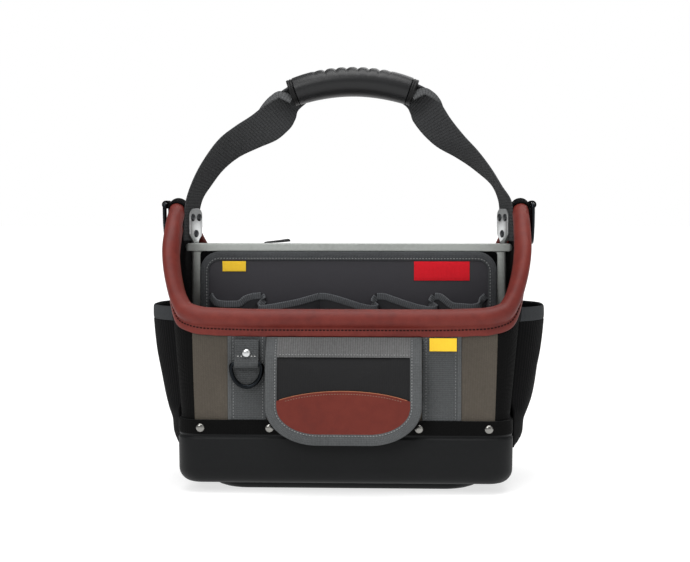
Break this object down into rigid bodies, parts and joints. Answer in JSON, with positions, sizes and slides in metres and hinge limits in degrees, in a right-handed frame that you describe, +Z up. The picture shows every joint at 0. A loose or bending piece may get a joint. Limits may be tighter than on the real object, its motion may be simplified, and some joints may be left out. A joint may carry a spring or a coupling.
{
  "type": "open top tool tote",
  "caption": "Open top tool tote with a moulded base, padded walls with a rolled leather rim, a pocketed divider on a metal frame and a strap handle with a rubber grip.",
  "frame": {"origin": "centre of the flat foot under the tub, on the surface that the tote stands on", "axes": "+X to the right across the tote's width, +Y from the front with the flap pocket to the back, +Z up towards the grip"},
  "size_m": [0.3958, 0.2218, 0.419],
  "materials": {
    "moulded_tub": "fine pebbled moulded plastic, satin",
    "black_cloth": "heavy black woven cloth",
    "pocket_mesh": "black ribbed mesh cloth",
    "tan_canvas": "tan canvas weave",
    "rim_leather": "red-brown grained leather, soft sheen",
    "grey_webbing": "grey ribbed webbing",
    "strap_webbing": "dark grey ribbed webbing",
    "grey_tape": "grey binding tape with light stitching",
    "board_cloth": "dark grey coated cloth",
    "frame_metal": "satin aluminium",
    "bracket_metal": "bright plated steel",
    "rivet_metal": "bright domed metal",
    "ring_metal": "black nickel wire",
    "grip_rubber": "black pebbled rubber",
    "yellow_label": "bare yellow woven label",
    "red_label": "bare red woven label"
  },
  "bodies": {
    "tote": {"base_tub": "moulded_tub", "front_rivet_1": "rivet_metal", "front_rivet_2": "rivet_metal", "front_rivet_3": "rivet_metal", "front_rivet_4": "rivet_metal", "back_rivet_1": "rivet_metal", "back_rivet_2": "rivet_metal", "back_rivet_3": "rivet_metal", "back_rivet_4": "rivet_metal", "front_wall": "tan_canvas", "back_wall": "black_cloth", "side_wall_left": "black_cloth", "side_wall_right": "black_cloth", "rim_roll": "rim_leather", "ear_cap_left": "black_cloth", "ear_cap_right": "black_cloth", "frame_top_bar": "frame_metal", "frame_leg_left": "frame_metal", "frame_leg_right": "frame_metal", "divider_board": "board_cloth", "divider_binding": "grey_tape", "divider_pocket_1": "board_cloth", "divider_pocket_2": "board_cloth", "divider_pocket_3": "board_cloth", "divider_pocket_4": "board_cloth", "divider_pocket_5": "board_cloth", "board_label_yellow": "yellow_label", "board_label_red": "red_label", "front_label_yellow": "yellow_label", "bracket_left": "bracket_metal", "bracket_right": "bracket_metal", "bracket_bolt_left_1": "rivet_metal", "bracket_bolt_left_2": "rivet_metal", "bracket_bolt_left_3": "rivet_metal", "bracket_bolt_right_1": "rivet_metal", "bracket_bolt_right_2": "rivet_metal", "bracket_bolt_right_3": "rivet_metal", "handle_grip": "grip_rubber", "grip_collar_left": "grip_rubber", "grip_collar_right": "grip_rubber", "strap_left": "strap_webbing", "strap_right": "strap_webbing", "webbing_strip_left": "grey_webbing", "webbing_strip_right": "grey_webbing", "ring_loop": "grey_webbing", "ring_loop_rivet": "rivet_metal", "flap_pouch": "black_cloth", "flap_panel": "black_cloth", "flap_band": "grey_webbing", "flap_binding": "grey_tape", "flap_patch": "rim_leather", "side_pocket_left": "pocket_mesh", "side_pocket_right": "pocket_mesh", "side_pocket_hem_left": "grey_tape", "side_pocket_hem_right": "grey_tape", "bar_pull": "grip_rubber"},
    "front_ring": {"front_ring": "ring_metal"},
    "side_ring_left": {"side_ring_left": "ring_metal"},
    "side_ring_right": {"side_ring_right": "ring_metal"}
  },
  "joints": [
    {"name": "front_ring_swing", "type": "hinge", "parent": "tote", "child": "front_ring", "pos_m": [-0.0938, -0.10235, 0.1263], "axis": [-1, 0, 0], "range_deg": [0, 150]},
    {"name": "side_ring_left_swing", "type": "hinge", "parent": "tote", "child": "side_ring_left", "pos_m": [-0.18575, 0, 0.2795], "axis": [0, 1, 0], "range_deg": [0, 150]},
    {"name": "side_ring_right_swing", "type": "hinge", "parent": "tote", "child": "side_ring_right", "pos_m": [0.18575, 0, 0.2795], "axis": [0, -1, 0], "range_deg": [0, 150]}
  ]
}
